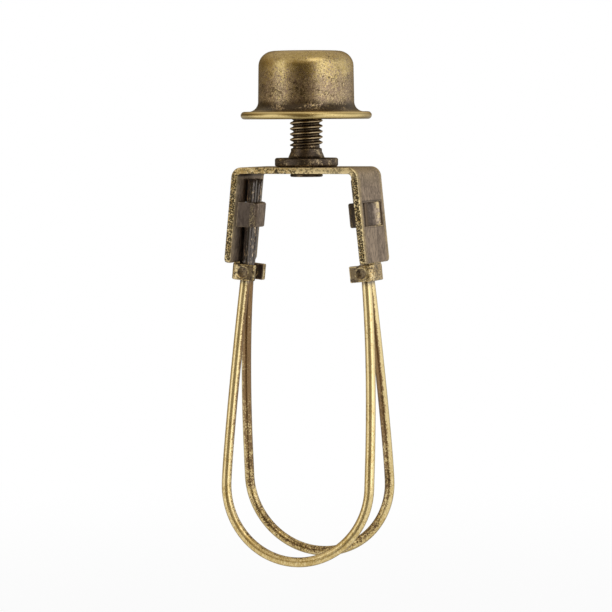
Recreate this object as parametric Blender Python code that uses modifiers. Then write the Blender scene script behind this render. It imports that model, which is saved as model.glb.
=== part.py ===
# Clip-on lampshade adapter, in metres, +Z up.
# Origin on the stud's axis, at the centre of the arc that ends the wire loops.
# Legs stand left and right along X, one wire loop is at the front (-Y) and one at the back (+Y).
import math

import bmesh
import bpy
from mathutils import Matrix, Vector, geometry

# Folded bracket
SHEET = 0.0012
PLATE_SPAN = 0.0240  # outside, across the two legs at the top
BRACKET_DEPTH = 0.0138  # front to back
BEND_RADIUS = 0.0019  # outside of the fold
LEG_FLARE = 5.7  # degrees from upright
LEG_LENGTH = 0.0175  # down the leg, from the outer corner of the fold
LEG_CORNER = 0.0009
EDGE_SOFTENING = 0.00012

# Strap lanced out of each leg
STRAP_START = 0.0064  # down the leg
STRAP_HEIGHT = 0.0043
STRAP_SLIT = 0.0104  # width of the window that it leaves
STRAP_SHEET = 0.0008  # drawn thinner than the leg
STRAP_SLOPE = 0.0032  # width that each end takes to rise
STRAP_ROUND = 0.0011
STRAP_SPREAD = 0.0001  # the strap is this much wider than its window, above and below

# Tongue and its two folded ears
SLIT = 0.0002  # between the leg's lower edge and the ears
NECK_INSET = 0.00004  # the neck's faces behind the sheet's
TAB_WIDTH = 0.0067
TAB_HEIGHT = 0.0030
TAB_BEND = 0.0015  # outside of the fold
EAR_REACH = 0.0034  # past the leg's inner face
EAR_LEAN = 0.0003
DIMPLE_RADIUS = 0.0011
DIMPLE_DEPTH = 0.00035
DIMPLE_PLACE = 0.0024  # from the leg's outer face

# Spring wire loops
WIRE = 0.0018  # diameter
WIRE_PLAY = 0.0001  # round the wire, under strap and ears
WIRE_TOP = 0.0020  # down the leg
WIRE_TOP_SPREAD = 0.0015  # wire centre from the middle plane, at the upper end
WIRE_TAB_SPREAD = 0.00095  # the same between the ears
LOOP_DROP = 0.0581  # from the plate's top face to the centre of the loops' arc
LOOP_RADIUS = 0.0139  # to the wire's centre
LOOP_SPREAD = 0.0058  # wire centre from the middle plane, where the arc begins
LOOP_BOTTOM_SPREAD = 0.0071
EXIT_PULL = 0.0168  # how far the wire keeps its direction below the ears
EXIT_SPLAY = 4.0  # degrees, out of the leg's own plane
ARC_PULL = 0.0045  # the same above the arc

# Stud
THREAD_RADIUS = 0.0030
THREAD_PITCH = 0.0010
STUD_TOP = 0.0135  # above the plate
RELIEF_RADIUS = 0.00245
RELIEF_LENGTH = 0.0004
BOSS_TOP = 0.0034
BOSS_TOP_RADIUS = 0.00285
BOSS_RADIUS = 0.0033
FOOT_RADIUS = 0.0058
FOOT_THICKNESS = 0.0016
FOOT_ROUND = 0.0004
TENON_RADIUS = 0.0021
TAIL_RADIUS = 0.0030
TAIL_HEIGHT = 0.0006
TAIL_SHOULDER = (0.85, 0.7)  # share of the tail's radius and height where its edge turns
TAIL_CROWN = 0.5  # share of the tail's radius that is flat

# Cap and its nut
CAP_BRIM_HEIGHT = 0.0094  # middle of the hem, above the plate
CAP_HEIGHT = 0.0118  # from the middle of the hem to the crown
CAP_SHEET = 0.0006
CAP_TOP_RADIUS = 0.0087
CAP_FOOT_RADIUS = 0.0088
CAP_SHOULDER = 0.0028
CAP_CROWN_RISE = 0.00006
CAP_COVE = 0.0018
BRIM_RADIUS = 0.0120
HEM_RADIUS = 0.0007
NUT_RADIUS = 0.0045
NUT_START = 0.0015  # above the middle of the hem
NUT_BORE_PLAY = 0.00012
NUT_CHAMFER = 0.0005

# Clearance between pieces that are seated or riveted together
SEAT = 0.00005

ROUND_STEPS = 48

plate_top = LOOP_DROP
leg_slope = math.radians(LEG_FLARE)
wire_radius = WIRE / 2
wire_depth = SHEET + WIRE_PLAY + wire_radius
tab_start = LEG_LENGTH + SLIT
tab_end = tab_start + TAB_HEIGHT


# Collections

def clear_scene():
    for obj in list(bpy.data.objects):
        bpy.data.objects.remove(obj, do_unlink=True)


def new_collection(name):
    collection = bpy.data.collections.new(name)
    bpy.context.scene.collection.children.link(collection)
    return collection


def add_object(name, data, material=None, tool=False):
    obj = bpy.data.objects.new(name, data)
    (tools if tool else adapter).objects.link(obj)
    if material:
        data.materials.append(material)
    if tool:
        obj.hide_render = True
        obj.display_type = "WIRE"
    return obj


def metal(name, colour, roughness):
    material = bpy.data.materials.new(name)
    material.use_nodes = True
    shader = material.node_tree.nodes["Principled BSDF"]
    shader.inputs["Base Color"].default_value = (*colour, 1.0)
    shader.inputs["Roughness"].default_value = roughness
    shader.inputs["Metallic"].default_value = 1.0
    return material


# A leg's own frame: X inwards from its outer face, Y across, Z down along the leg

def right_leg_frame():
    inwards = Vector((-math.cos(leg_slope), 0, -math.sin(leg_slope)))
    across = Vector((0, 1, 0))
    down = Vector((math.sin(leg_slope), 0, -math.cos(leg_slope)))
    frame = Matrix((inwards, across, down)).transposed().to_4x4()
    frame.translation = Vector((PLATE_SPAN / 2, 0, plate_top))
    return frame


def leg_frames():
    half_turn = Matrix.Rotation(math.pi, 4, "Z")
    return {"right": right_leg_frame(), "left": half_turn @ right_leg_frame()}


# Outlines

def arc(centre, radius, start, end, steps):
    points = []
    for i in range(steps + 1):
        angle = math.radians(start + (end - start) * i / steps)
        points.append((centre[0] + radius * math.cos(angle), centre[1] + radius * math.sin(angle)))
    return points


def rounded_path(corners, radius, steps):
    """A path through the corners, each inner corner turned by an arc of the radius."""
    path = [Vector(corners[0])]
    for before, corner, after in zip(corners, corners[1:], corners[2:]):
        before, corner, after = Vector(before), Vector(corner), Vector(after)
        arriving = (corner - before).normalized()
        leaving = (after - corner).normalized()
        turn = arriving.angle_signed(leaving)
        reach = radius * math.tan(abs(turn) / 2)
        start = corner - arriving * reach
        side = 1 if turn < 0 else -1
        centre = start + Vector((-arriving.y, arriving.x)) * radius * side
        for i in range(steps + 1):
            swing = abs(turn) * i / steps * side
            spoke = start - centre
            spoke.rotate(Matrix.Rotation(swing, 2))
            path.append(centre + spoke)
    path.append(Vector(corners[-1]))
    return path


# Solids

def folded_band(name, path, start, width, place):
    """An open strip along the path, its width along local Z from start."""
    mesh = bpy.data.meshes.new(name)
    bm = bmesh.new()
    low = [bm.verts.new((x, y, start)) for x, y in path]
    high = [bm.verts.new((x, y, start + width)) for x, y in path]
    for i in range(len(path) - 1):
        bm.faces.new((low[i], low[i + 1], high[i + 1], high[i]))
    bm.transform(place)
    bm.to_mesh(mesh)
    bm.free()
    return mesh


def thicken(obj, sheet, offset):
    solidify = obj.modifiers.new("sheet", "SOLIDIFY")
    solidify.thickness = sheet
    solidify.offset = offset
    solidify.use_even_offset = True


def soften_edges(obj):
    bevel = obj.modifiers.new("softened edges", "BEVEL")
    bevel.width = EDGE_SOFTENING
    bevel.segments = 1
    bevel.limit_method = "ANGLE"
    bevel.angle_limit = math.radians(50)


def round_free_corners(obj, radius):
    """Rounds the four free corners of an open strip."""
    corners = obj.vertex_groups.new(name="free corners")
    half = len(obj.data.vertices) // 2
    corners.add([0, half - 1, half, 2 * half - 1], 1.0, "REPLACE")
    bevel = obj.modifiers.new("rounded corners", "BEVEL")
    bevel.affect = "VERTICES"
    bevel.limit_method = "VGROUP"
    bevel.vertex_group = corners.name
    bevel.width = radius
    bevel.segments = 6


def prism(name, outline, low, high, place):
    """A closed block whose outline lies in local YZ and which runs along local X from low to high."""
    mesh = bpy.data.meshes.new(name)
    bm = bmesh.new()
    face = bm.faces.new([bm.verts.new((low, y, z)) for y, z in outline])
    grown = bmesh.ops.extrude_face_region(bm, geom=[face])
    moved = [v for v in grown["geom"] if isinstance(v, bmesh.types.BMVert)]
    bmesh.ops.translate(bm, verts=moved, vec=(high - low, 0, 0))
    bmesh.ops.recalc_face_normals(bm, faces=bm.faces)
    bm.transform(place)
    bm.to_mesh(mesh)
    bm.free()
    return add_object(name, mesh, tool=True)


def turned(name, section, material, closed=False, tool=False):
    """A profile in XZ turned about Z. It starts at the top and runs down its outer side."""
    mesh = bpy.data.meshes.new(name)
    edges = [(i, i + 1) for i in range(len(section) - 1)]
    if closed:
        edges.append((len(section) - 1, 0))
    mesh.from_pydata([(r, 0, z) for r, z in section], edges, [])
    obj = add_object(name, mesh, material, tool)
    screw = obj.modifiers.new("turned", "SCREW")
    screw.steps = ROUND_STEPS
    screw.render_steps = ROUND_STEPS
    screw.use_merge_vertices = True
    screw.merge_threshold = 0.000001
    screw.use_smooth_shade = True
    return obj


def boolean(obj, tool, operation):
    modifier = obj.modifiers.new(f"{operation.lower()} {tool.name}", "BOOLEAN")
    modifier.operation = operation
    modifier.object = tool


# Bracket

def bracket_strip(material):
    """The strip folded over at both ends, its outer side along the path."""
    out = PLATE_SPAN / 2 + LEG_LENGTH * math.sin(leg_slope)
    down = -LEG_LENGTH * math.cos(leg_slope)
    corners = [(-out, down), (-PLATE_SPAN / 2, 0), (PLATE_SPAN / 2, 0), (out, down)]
    path = rounded_path(corners, BEND_RADIUS, 6)
    upright = Matrix.Translation((0, 0, plate_top)) @ Matrix.Rotation(math.radians(90), 4, "X")
    mesh = folded_band("bracket", path, -BRACKET_DEPTH / 2, BRACKET_DEPTH, upright)
    obj = add_object("bracket", mesh, material)
    round_free_corners(obj, LEG_CORNER)
    thicken(obj, SHEET, 1)
    return obj


def leg_window(name, place):
    half = STRAP_SLIT / 2
    low = STRAP_START + STRAP_SPREAD
    high = STRAP_START + STRAP_HEIGHT - STRAP_SPREAD
    outline = [(-half, low), (half, low), (half, high), (-half, high)]
    return prism(name, outline, -SHEET, 2 * SHEET, place)


def strap(name, place):
    middle = SHEET / 2
    foot = STRAP_SLIT / 2
    web = SHEET + 2 * WIRE_PLAY + WIRE + STRAP_SHEET / 2
    corners = [
        (middle, -foot - SHEET / 2),
        (middle, -foot),
        (web, -foot + STRAP_SLOPE),
        (web, foot - STRAP_SLOPE),
        (middle, foot),
        (middle, foot + SHEET / 2),
    ]
    path = rounded_path(corners, STRAP_ROUND, 4)
    mesh = folded_band(name, path, STRAP_START, STRAP_HEIGHT, place)
    obj = add_object(name, mesh, tool=True)
    thicken(obj, STRAP_SHEET, 0)
    soften_edges(obj)
    return obj


def tab(name, place):
    """The tongue's foot with its ears: a channel open towards the inside."""
    back = SHEET / 2
    wall = TAB_WIDTH / 2 - SHEET / 2
    tip = SHEET + EAR_REACH
    corners = [
        (tip, -wall + EAR_LEAN),
        (back, -wall),
        (back, wall),
        (tip, wall - EAR_LEAN),
    ]
    path = rounded_path(corners, TAB_BEND - SHEET / 2, 5)
    mesh = folded_band(name, path, tab_start, TAB_HEIGHT, place)
    obj = add_object(name, mesh, tool=True)
    thicken(obj, SHEET, 0)
    soften_edges(obj)
    for side in (-1, 1):
        boolean(obj, dimple(f"{name} dimple {side}", side, place), "DIFFERENCE")
    return obj


def neck(name, place):
    half = TAB_WIDTH / 2 - TAB_BEND
    low = LEG_LENGTH - 2 * SHEET
    high = tab_start + TAB_HEIGHT / 2
    outline = [(-half, low), (half, low), (half, high), (-half, high)]
    return prism(name, outline, NECK_INSET, SHEET - NECK_INSET, place)


def dimple(name, side, place):
    """The ball that leaves a round dimple in the outside of an ear."""
    ball_radius = (DIMPLE_RADIUS**2 + DIMPLE_DEPTH**2) / (2 * DIMPLE_DEPTH)
    lean = EAR_LEAN * DIMPLE_PLACE / (SHEET + EAR_REACH)
    face = TAB_WIDTH / 2 - lean
    mesh = bpy.data.meshes.new(name)
    bm = bmesh.new()
    bmesh.ops.create_uvsphere(bm, u_segments=24, v_segments=24, radius=ball_radius)
    bm.transform(Matrix.Rotation(math.radians(90), 4, "X"))
    centre = (DIMPLE_PLACE, side * (face + ball_radius - DIMPLE_DEPTH), tab_start + TAB_HEIGHT / 2)
    bm.transform(place @ Matrix.Translation(centre))
    bm.to_mesh(mesh)
    bm.free()
    return add_object(name, mesh, tool=True)


def rivet_hole():
    radius = TENON_RADIUS + SEAT
    section = [(0, plate_top + SHEET), (radius, plate_top + SHEET), (radius, plate_top - 2 * SHEET)]
    section.append((0, plate_top - 2 * SHEET))
    return turned("rivet_hole", section, None, tool=True)


def make_bracket(material):
    obj = bracket_strip(material)
    frames = leg_frames()
    for leg, place in frames.items():
        boolean(obj, leg_window(f"{leg} window", place), "DIFFERENCE")
    boolean(obj, rivet_hole(), "DIFFERENCE")
    soften_edges(obj)
    for leg, place in frames.items():
        boolean(obj, strap(f"{leg} strap", place), "UNION")
        boolean(obj, neck(f"{leg} neck", place), "UNION")
        boolean(obj, tab(f"{leg} tab", place), "UNION")
    return obj


# Stud

def make_stud(material):
    top = plate_top + STUD_TOP
    root = THREAD_RADIUS - 0.6 * THREAD_PITCH
    boss = plate_top + BOSS_TOP
    foot = plate_top + SEAT + FOOT_THICKNESS
    under = plate_top - SHEET - SEAT
    lead = THREAD_RADIUS - root
    section = [(0, top), (root, top), (THREAD_RADIUS, top - lead)]
    section += [(THREAD_RADIUS, boss + RELIEF_LENGTH), (RELIEF_RADIUS, boss + RELIEF_LENGTH)]
    section += [(RELIEF_RADIUS, boss), (BOSS_TOP_RADIUS, boss)]
    section += [(BOSS_RADIUS, foot)]
    section += arc((FOOT_RADIUS - FOOT_ROUND, foot - FOOT_ROUND), FOOT_ROUND, 90, 0, 4)
    section += arc((FOOT_RADIUS - FOOT_ROUND, plate_top + SEAT + FOOT_ROUND), FOOT_ROUND, 0, -90, 4)
    section += [(TENON_RADIUS, plate_top + SEAT), (TENON_RADIUS, under), (TAIL_RADIUS, under)]
    section += [(TAIL_RADIUS * TAIL_SHOULDER[0], under - TAIL_HEIGHT * TAIL_SHOULDER[1])]
    section += [(TAIL_RADIUS * TAIL_CROWN, under - TAIL_HEIGHT), (0, under - TAIL_HEIGHT)]
    return turned("threaded_stud", section, material)


# Cap

def cap_section():
    hem = plate_top + CAP_BRIM_HEIGHT
    crown = hem + CAP_HEIGHT
    edge = crown - CAP_CROWN_RISE
    shoulder = (CAP_TOP_RADIUS - CAP_SHOULDER, edge - CAP_SHOULDER)
    hem_centre = BRIM_RADIUS - HEM_RADIUS
    cove = (CAP_FOOT_RADIUS + CAP_COVE, hem + HEM_RADIUS + CAP_COVE)
    outside = [(0, crown)]
    outside += arc(shoulder, CAP_SHOULDER, 88, 0, 7)
    outside += arc(cove, CAP_COVE, 180, 270, 5)
    outside += arc((hem_centre, hem), HEM_RADIUS, 90, -165, 8)
    inside = arc(cove, CAP_COVE + CAP_SHEET, 270, 180, 4)
    inside += arc(shoulder, CAP_SHOULDER - CAP_SHEET, 0, 88, 5)
    inside += [(0, crown - CAP_SHEET)]
    return outside + inside


def nut_section():
    hem = plate_top + CAP_BRIM_HEIGHT
    low = hem + NUT_START
    high = hem + CAP_HEIGHT - CAP_CROWN_RISE - CAP_SHEET - SEAT
    bore = THREAD_RADIUS + NUT_BORE_PLAY
    return [
        (NUT_RADIUS - NUT_CHAMFER, high),
        (NUT_RADIUS, high - NUT_CHAMFER),
        (NUT_RADIUS, low + NUT_CHAMFER),
        (NUT_RADIUS - NUT_CHAMFER, low),
        (bore + NUT_CHAMFER, low),
        (bore, low + NUT_CHAMFER),
        (bore, high),
    ]


# Wire loops

def wire_path(side):
    """The wire's centre line from the right-hand end down, round the arc and up the left leg."""
    frame = right_leg_frame()
    top = frame @ Vector((wire_depth, side * WIRE_TOP_SPREAD, WIRE_TOP))
    entry = frame @ Vector((wire_depth, side * WIRE_TAB_SPREAD, tab_start))
    leave = frame @ Vector((wire_depth, side * WIRE_TAB_SPREAD, tab_end + WIRE_PLAY))
    wide = Vector((LOOP_RADIUS, side * LOOP_SPREAD, 0))
    bottom = Vector((0, side * LOOP_BOTTOM_SPREAD, -LOOP_RADIUS))
    along_leg = (entry - top).normalized()
    out = frame.to_3x3() @ Vector((0, side * math.tan(math.radians(EXIT_SPLAY)), 1)).normalized()
    down = Vector((0, side * (LOOP_BOTTOM_SPREAD - LOOP_SPREAD) / LOOP_RADIUS, -1)).normalized()
    fold = (leave - entry).length / 3
    quarter = LOOP_RADIUS * 4 / 3 * math.tan(math.pi / 8)
    pieces = [
        (top, top + along_leg * fold, entry - along_leg * fold, entry, 2),
        (entry, entry + along_leg * fold, leave - out * fold, leave, 4),
        (leave, leave + out * EXIT_PULL, wide - down * ARC_PULL, wide, 9),
        (wide, wide + down * quarter, bottom + Vector((quarter, 0, 0)), bottom, 14),
    ]
    half = []
    for start, handle_1, handle_2, end, steps in pieces:
        points = geometry.interpolate_bezier(start, handle_1, handle_2, end, steps + 1)
        half += points[1 if half else 0:]
    other = [Vector((-p.x, p.y, p.z)) for p in reversed(half[:-1])]
    return half + other, leave


def make_loop(name, side, material):
    path, leave = wire_path(side)
    pivot = Vector((0, leave.y, leave.z))
    curve = bpy.data.curves.new(name, "CURVE")
    curve.dimensions = "3D"
    curve.bevel_depth = wire_radius
    curve.bevel_resolution = 4
    curve.use_fill_caps = True
    spline = curve.splines.new("POLY")
    spline.points.add(len(path) - 1)
    for point, place in zip(spline.points, path):
        point.co = (*(place - pivot), 1.0)
    obj = add_object(name, curve, material)
    obj.location = pivot
    return obj


clear_scene()
adapter = new_collection("clip-on lampshade adapter")
tools = new_collection("cutters")
cap_brass = metal("cap antique brass", (0.32, 0.23, 0.09), 0.38)
stud_brass = metal("stud antique brass", (0.22, 0.16, 0.08), 0.45)
sheet_brass = metal("sheet antique brass", (0.27, 0.21, 0.13), 0.45)
wire_brass = metal("wire antique brass", (0.38, 0.28, 0.12), 0.35)

make_bracket(sheet_brass)
make_stud(stud_brass)
cap_axis = bpy.data.objects.new("cap_axis", None)
adapter.objects.link(cap_axis)
for piece in (
    turned("cap_shell", cap_section(), cap_brass),
    turned("cap_nut", nut_section(), stud_brass, closed=True),
):
    piece.parent = cap_axis
make_loop("front_wire_loop", -1, wire_brass)
make_loop("back_wire_loop", 1, wire_brass)
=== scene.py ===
# Clip-on lampshade adapter in antique brass: looks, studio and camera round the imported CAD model.
import math

import bmesh
import bpy
from mathutils import Matrix, Vector, geometry


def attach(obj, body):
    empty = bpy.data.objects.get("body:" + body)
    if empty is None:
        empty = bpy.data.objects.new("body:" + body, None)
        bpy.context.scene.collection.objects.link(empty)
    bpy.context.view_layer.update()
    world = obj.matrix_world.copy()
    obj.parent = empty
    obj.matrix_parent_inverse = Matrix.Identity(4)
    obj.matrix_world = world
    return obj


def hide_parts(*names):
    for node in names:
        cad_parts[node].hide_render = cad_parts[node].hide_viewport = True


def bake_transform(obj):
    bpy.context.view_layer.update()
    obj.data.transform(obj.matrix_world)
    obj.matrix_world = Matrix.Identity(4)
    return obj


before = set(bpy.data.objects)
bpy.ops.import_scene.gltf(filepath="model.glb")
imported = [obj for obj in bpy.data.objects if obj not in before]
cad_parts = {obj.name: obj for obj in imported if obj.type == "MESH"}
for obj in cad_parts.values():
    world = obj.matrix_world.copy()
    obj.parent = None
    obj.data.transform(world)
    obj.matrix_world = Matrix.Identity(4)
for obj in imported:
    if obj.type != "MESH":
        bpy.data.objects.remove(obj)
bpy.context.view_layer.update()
print("frame loaded:", ", ".join(sorted(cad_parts)))

tiny = 1e-7
sharpTurn = 50  # degrees, from which an edge is softened
creaseTurn = 33  # degrees, from which the shading breaks

# Sizes that several pieces share, in metres
layout = {
    "plateTop": 0.0581,
    "seat": 0.00005,
    "wire": 0.0018,
    "threadRadius": 0.0030,
    "threadPitch": 0.0010,
    "brimHeight": 0.0094,  # middle of the hem, above the plate
}
hemHeight = layout["plateTop"] + layout["brimHeight"]


# Meshes

def addObject(name, data):
    obj = bpy.data.objects.new(name, data)
    bpy.context.scene.collection.objects.link(obj)
    return obj


def finishMesh(name, mesh, material):
    for face in mesh.polygons:
        face.use_smooth = True
    mesh.materials.clear()
    mesh.materials.append(material)
    piece = addObject(name, mesh)
    return piece


# Faces between rows of vertex indices, with one index where a row shrinks to a point on the axis
def facesFromRows(rows, closed):
    faces = []
    pairs = list(zip(rows, rows[1:]))
    if closed:
        pairs.append((rows[-1], rows[0]))
    for upper, lower in pairs:
        steps = max(len(upper), len(lower))
        for i in range(steps):
            k = (i + 1) % steps
            if len(upper) == 1:
                faces.append((upper[0], lower[i], lower[k]))
            elif len(lower) == 1:
                faces.append((upper[i], lower[0], upper[k]))
            else:
                faces.append((upper[i], lower[i], lower[k], upper[k]))
    return faces


def outwardNormals(mesh):
    bm = bmesh.new()
    bm.from_mesh(mesh)
    bmesh.ops.recalc_face_normals(bm, faces=bm.faces)
    bm.to_mesh(mesh)
    bm.free()


# A profile of (radius, height) turned about Z, where cut(angle, radius, height) may lower the radius
def turnedMesh(name, profile, steps, closed=False, cut=None):
    vertices, rows = [], []
    for radius, height in profile:
        if radius < tiny:
            rows.append([len(vertices)])
            vertices.append((0, 0, height))
            continue
        row = []
        for i in range(steps):
            angle = 2 * math.pi * i / steps
            reach = cut(angle, radius, height) if cut else radius
            row.append(len(vertices))
            vertices.append((reach * math.cos(angle), reach * math.sin(angle), height))
        rows.append(row)
    mesh = bpy.data.meshes.new(name)
    mesh.from_pydata(vertices, [], facesFromRows(rows, closed))
    outwardNormals(mesh)
    return mesh


def arcPoints(centre, radius, start, end, steps):
    points = []
    for i in range(steps + 1):
        angle = math.radians(start + (end - start) * i / steps)
        points.append((centre[0] + radius * math.cos(angle), centre[1] + radius * math.sin(angle)))
    return points


# A path through the corners, each inner corner turned by an arc
def roundedPath(corners, radius, steps):
    path = [Vector(corners[0])]
    for before, corner, after in zip(corners, corners[1:], corners[2:]):
        before, corner, after = Vector(before), Vector(corner), Vector(after)
        arriving = (corner - before).normalized()
        leaving = (after - corner).normalized()
        turn = arriving.angle_signed(leaving)
        start = corner - arriving * radius * math.tan(abs(turn) / 2)
        side = 1 if turn < 0 else -1
        centre = start + Vector((-arriving.y, arriving.x)) * radius * side
        for i in range(steps + 1):
            spoke = start - centre
            spoke.rotate(Matrix.Rotation(abs(turn) * i / steps * side, 2))
            path.append(centre + spoke)
    path.append(Vector(corners[-1]))
    return path


def foldedBand(name, path, start, width, matrix):
    mesh = bpy.data.meshes.new(name)
    count = len(path)
    vertices = [matrix @ Vector((x, y, start)) for x, y in path]
    vertices += [matrix @ Vector((x, y, start + width)) for x, y in path]
    faces = [(i, i + 1, count + i + 1, count + i) for i in range(count - 1)]
    mesh.from_pydata(vertices, [], faces)
    return addObject(name, mesh)


# A block in a leg's frame, as wide to both sides, between two places down the leg and two inwards
def block(name, half, down, inwards, matrix):
    mesh = bpy.data.meshes.new(name)
    bm = bmesh.new()
    outline = ((-half, down[0]), (half, down[0]), (half, down[1]), (-half, down[1]))
    face = bm.faces.new([bm.verts.new((inwards[0], y, z)) for y, z in outline])
    grown = bmesh.ops.extrude_face_region(bm, geom=[face])
    moved = [v for v in grown["geom"] if isinstance(v, bmesh.types.BMVert)]
    bmesh.ops.translate(bm, verts=moved, vec=(inwards[1] - inwards[0], 0, 0))
    bmesh.ops.recalc_face_normals(bm, faces=bm.faces)
    bm.transform(matrix)
    bm.to_mesh(mesh)
    bm.free()
    return addObject(name, mesh)


def modify(obj, name, kind, **settings):
    modifier = obj.modifiers.new(name, kind)
    for setting, value in settings.items():
        setattr(modifier, setting, value)


def thicken(obj, sheet, offset):
    modify(obj, "sheet", "SOLIDIFY", thickness=sheet, offset=offset, use_even_offset=True)


def softenEdges(obj, width):
    limit = math.radians(sharpTurn)
    modify(obj, "worn edges", "BEVEL", width=width, segments=3, limit_method="ANGLE", angle_limit=limit)


# Objects that were cut or joined into others, to be removed at the end
cutters = []


def combine(obj, tool, operation):
    modify(obj, operation.lower(), "BOOLEAN", operation=operation, object=tool)
    tool.hide_render = True
    cutters.append(tool)


def evaluatedMesh(obj, name):
    bpy.context.view_layer.update()
    depsgraph = bpy.context.evaluated_depsgraph_get()
    mesh = bpy.data.meshes.new_from_object(obj.evaluated_get(depsgraph))
    mesh.name = name
    return mesh


# Shader nodes

# What a socket gives, with sums written as usual
class Value:
    def __init__(self, tree, socket):
        self.tree, self.socket = tree, socket

    def math(self, operation, second=0.0, first=None):
        inputs = {0: self if first is None else first, 1: second}
        return addNode(self.tree, "ShaderNodeMath", inputs, operation=operation)[0]

    def __add__(self, other):
        return self.math("ADD", other)

    def __sub__(self, other):
        return self.math("SUBTRACT", other)

    def __rsub__(self, other):
        return self.math("SUBTRACT", self, other)

    def __mul__(self, other):
        return self.math("MULTIPLY", other)

    def __rtruediv__(self, other):
        return self.math("DIVIDE", self, other)

    def __abs__(self):
        return self.math("ABSOLUTE")


# A node, and the values of its outputs by name or place
class Outputs:
    def __init__(self, tree, node):
        self.tree, self.node = tree, node

    def __getitem__(self, name):
        return Value(self.tree, self.node.outputs[name])


def feed(socket, value):
    if isinstance(value, Value):
        value.tree.links.new(value.socket, socket)
    else:
        socket.default_value = value


def addNode(tree, kind, inputs=None, **settings):
    node = tree.nodes.new(kind)
    for name, value in settings.items():
        setattr(node, name, value)
    for name, value in (inputs or {}).items():
        feed(node.inputs[name], value)
    return Outputs(tree, node)


def larger(first, second):
    return first.math("MAXIMUM", second)


def dot(first, second):
    node = addNode(first.tree, "ShaderNodeVectorMath", {0: first, 1: second}, operation="DOT_PRODUCT")
    return node["Value"]


def parts(vector):
    return addNode(vector.tree, "ShaderNodeSeparateXYZ", {"Vector": vector})


def spread(value, low, high, toLow=0.0, toHigh=1.0, kind="SMOOTHSTEP"):
    inputs = {"Value": value, "From Min": low, "From Max": high, "To Min": toLow, "To Max": toHigh}
    return addNode(value.tree, "ShaderNodeMapRange", inputs, interpolation_type=kind)[0]


# One colour over another where the mask is
def paint(under, over, mask):
    inputs = {0: mask, 6: under, 7: over}
    inputs = {place: (*value, 1.0) if isinstance(value, tuple) else value for place, value in inputs.items()}
    return addNode(mask.tree, "ShaderNodeMix", inputs, data_type="RGBA")[2]


def noise(vector, scale, detail, roughness=0.5):
    inputs = {"Vector": vector, "Scale": scale, "Detail": detail, "Roughness": roughness}
    return addNode(vector.tree, "ShaderNodeTexNoise", inputs)[0]


# Coordinates in which marks come out longer along the height
def drawnOut(point, share):
    return addNode(point.tree, "ShaderNodeMapping", {"Vector": point, "Scale": (1.0, 1.0, share)})[0]


def startMaterial(name, s):
    material = bpy.data.materials.new(name)
    material.use_nodes = True
    material.diffuse_color = (*s["gold"], 1.0)
    inputs = material.node_tree.nodes["Principled BSDF"].inputs
    inputs["Metallic"].default_value = 1.0
    inputs["Coat Weight"].default_value = s["coat"]
    inputs["Coat Roughness"].default_value = s["coatRoughness"]
    return material, inputs, addNode(material.node_tree, "ShaderNodeTexCoord")["Object"]


def finishMaterial(inputs, colour, roughness, height, strength, distance):
    feed(inputs["Base Color"], colour)
    feed(inputs["Roughness"], roughness)
    bump = {"Height": height, "Strength": strength, "Distance": distance}
    feed(inputs["Normal"], addNode(height.tree, "ShaderNodeBump", bump)[0])


# Shared effects

# An input without a value is a vector, the others are numbers
def newEffect(name, inputs, outputs):
    group = bpy.data.node_groups.new(name, "ShaderNodeTree")
    for label, value in inputs.items():
        kind = "NodeSocketVector" if value is None else "NodeSocketFloat"
        socket = group.interface.new_socket(label, in_out="INPUT", socket_type=kind)
        if value is not None:
            socket.default_value = value
    for label, kind in outputs.items():
        group.interface.new_socket(label, in_out="OUTPUT", socket_type=kind)
    return group, addNode(group, "NodeGroupInput"), group.nodes.new("NodeGroupOutput").inputs


def useEffect(tree, group, inputs):
    return addNode(tree, "ShaderNodeGroup", inputs, node_tree=group)


# Grains of one size, broken up by a coarser cloud; cover is the share that they take
def makeSpeckle():
    inputs = {"Coordinates": None, "Grain": 0.0003, "Cover": 0.5, "Softness": 0.08, "Cloud": 0.3}
    outputs = {"Mask": "NodeSocketFloat", "Height": "NodeSocketFloat"}
    group, start, end = newEffect("patinaSpeckle", inputs, outputs)
    scale = 1.0 / start["Grain"]
    fine = noise(start["Coordinates"], scale, detail=3.0, roughness=0.62)
    coarse = noise(start["Coordinates"], scale * 0.14, detail=2.0)
    level = fine + (coarse - 0.5) * start["Cloud"]
    # noise lies mostly between 0.3 and 0.7, so the cover moves the threshold over that band
    threshold = spread(start["Cover"], 0.0, 1.0, 0.72, 0.28, "LINEAR")
    feed(end["Mask"], spread(level, threshold - start["Softness"], threshold + start["Softness"]))
    feed(end["Height"], fine)
    return group


# Hair-fine curly scratches: the narrow bands where a noise crosses its middle
def makeScratches():
    inputs = {"Coordinates": None, "Spacing": 0.0006, "Width": 0.05, "Cover": 0.6}
    group, start, end = newEffect("rubbingMarks", inputs, {"Mask": "NodeSocketFloat"})
    scale = 1.0 / start["Spacing"]
    lines = []
    for share, shift in ((1.0, 0.0), (1.45, 0.37)):
        shifted = {"Vector": start["Coordinates"], "Location": (shift, -shift, 0.5 * shift)}
        moved = addNode(group, "ShaderNodeMapping", shifted)[0]
        curls = noise(moved, scale * share, detail=1.0, roughness=0.4)
        lines.append(spread(abs(curls - 0.5), start["Width"], 0.0))
    patches = noise(start["Coordinates"], scale * 0.6, detail=2.0)
    threshold = spread(start["Cover"], 0.0, 1.0, 0.75, 0.25, "LINEAR")
    softness = 0.06
    feed(end["Mask"], larger(*lines) * spread(patches, threshold - softness, threshold + softness))
    return group


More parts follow.
